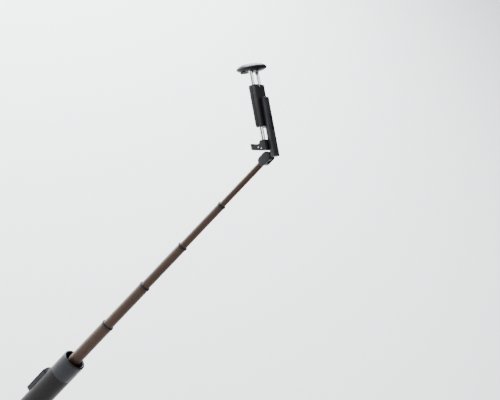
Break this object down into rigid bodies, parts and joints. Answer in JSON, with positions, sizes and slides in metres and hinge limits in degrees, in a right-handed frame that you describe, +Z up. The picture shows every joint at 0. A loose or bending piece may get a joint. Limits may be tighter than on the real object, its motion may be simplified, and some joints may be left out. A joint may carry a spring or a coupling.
{
  "type": "selfie stick",
  "caption": "Telescopic hand pole with a tilting, swivelling spring clamp whose two jaws slide apart on rods to hold a phone, and a shutter button pod on its handle.",
  "frame": {"origin": "centre of the flat outer face of the handle's end cap", "axes": "+Z up the pole from the handle to the head, +X along the tilt hinge's pin, +Y the way the head leans and the side of the handle that carries the shutter button"},
  "size_m": [0.026, 0.1044, 0.5052],
  "materials": {
    "pole_metal": "bronze-brown satin lacquer on thin drawn tube",
    "satin_black": "satin black moulding",
    "matte_black": "fine-textured brown-black moulding",
    "gloss_black": "polished black moulding",
    "soft_rubber": "matt black rubber",
    "chrome_rod": "polished plated rod",
    "plain_steel": "plain steel",
    "brass_strip": "plain brass",
    "circuit_board": "green lacquered board"
  },
  "bodies": {
    "handle": {"handle_shell": "satin_black", "handle_sleeve": "matte_black", "handle_gland": "matte_black", "handle_end_cap": "satin_black", "remote_base": "satin_black", "remote_cover": "satin_black", "remote_board": "circuit_board", "remote_switch": "plain_steel", "remote_cell": "plain_steel"},
    "shutter": {"shutter_button": "gloss_black"},
    "tube_1": {"tube_1": "pole_metal", "tube_1_collar": "satin_black", "tube_1_guide": "brass_strip"},
    "tube_2": {"tube_2": "pole_metal", "tube_2_collar": "satin_black", "tube_2_guide": "brass_strip"},
    "tube_3": {"tube_3": "pole_metal", "tube_3_collar": "satin_black", "tube_3_guide": "brass_strip"},
    "tube_4": {"tube_4": "pole_metal", "tube_4_collar": "satin_black", "tube_4_guide": "brass_strip"},
    "tube_5": {"tube_5": "pole_metal", "tube_5_guide": "brass_strip", "head_connector": "satin_black", "hinge_pin": "plain_steel", "hinge_washer_left": "brass_strip", "hinge_washer_right": "brass_strip"},
    "arm": {"arm_cover": "satin_black", "arm_spine": "satin_black", "swivel_washer": "brass_strip", "swivel_screw": "plain_steel"},
    "clamp": {"clamp_housing_back": "matte_black", "clamp_housing_front": "matte_black", "housing_screw_1": "plain_steel", "housing_screw_2": "plain_steel", "back_pad": "soft_rubber", "lower_rod_left": "chrome_rod", "lower_rod_right": "chrome_rod", "lower_jaw": "matte_black", "lower_jaw_pad": "soft_rubber", "jaw_pin_left_1": "plain_steel", "jaw_pin_left_2": "plain_steel", "jaw_pin_right_1": "plain_steel", "jaw_pin_right_2": "plain_steel", "clamp_spring": "plain_steel"},
    "upper_jaw": {"upper_jaw": "gloss_black", "upper_jaw_pad": "soft_rubber", "upper_rod_left": "chrome_rod", "upper_rod_right": "chrome_rod", "rod_yoke": "plain_steel"}
  },
  "joints": [
    {"name": "tube_1_slide", "type": "slide", "parent": "handle", "child": "tube_1", "axis": [0, 0, 1], "range_m": [-0.0745, 0]},
    {"name": "tube_2_slide", "type": "slide", "parent": "tube_1", "child": "tube_2", "axis": [0, 0, 1], "range_m": [-0.062, 0]},
    {"name": "tube_3_slide", "type": "slide", "parent": "tube_2", "child": "tube_3", "axis": [0, 0, 1], "range_m": [-0.062, 0]},
    {"name": "tube_4_slide", "type": "slide", "parent": "tube_3", "child": "tube_4", "axis": [0, 0, 1], "range_m": [-0.062, 0]},
    {"name": "tube_5_slide", "type": "slide", "parent": "tube_4", "child": "tube_5", "axis": [0, 0, 1], "range_m": [-0.062, 0]},
    {"name": "head_tilt", "type": "hinge", "parent": "tube_5", "child": "arm", "pos_m": [0, 0, 0.4488], "axis": [-1, 0, 0], "range_deg": [-62, 28]},
    {"name": "clamp_swivel", "type": "hinge", "parent": "arm", "child": "clamp", "pos_m": [0, 0.04308, 0.47748], "axis": [0, 0.4695, -0.8829], "range_deg": [-90, 90]},
    {"name": "upper_jaw_slide", "type": "slide", "parent": "clamp", "child": "upper_jaw", "axis": [0, 0.8829, 0.4695], "range_m": [-0.012, 0.011], "deforming": ["clamp_spring"]},
    {"name": "shutter_press", "type": "slide", "parent": "handle", "child": "shutter", "axis": [0, -1, 0], "range_m": [0, 0.0005], "stiffness_N_per_m": 400}
  ]
}
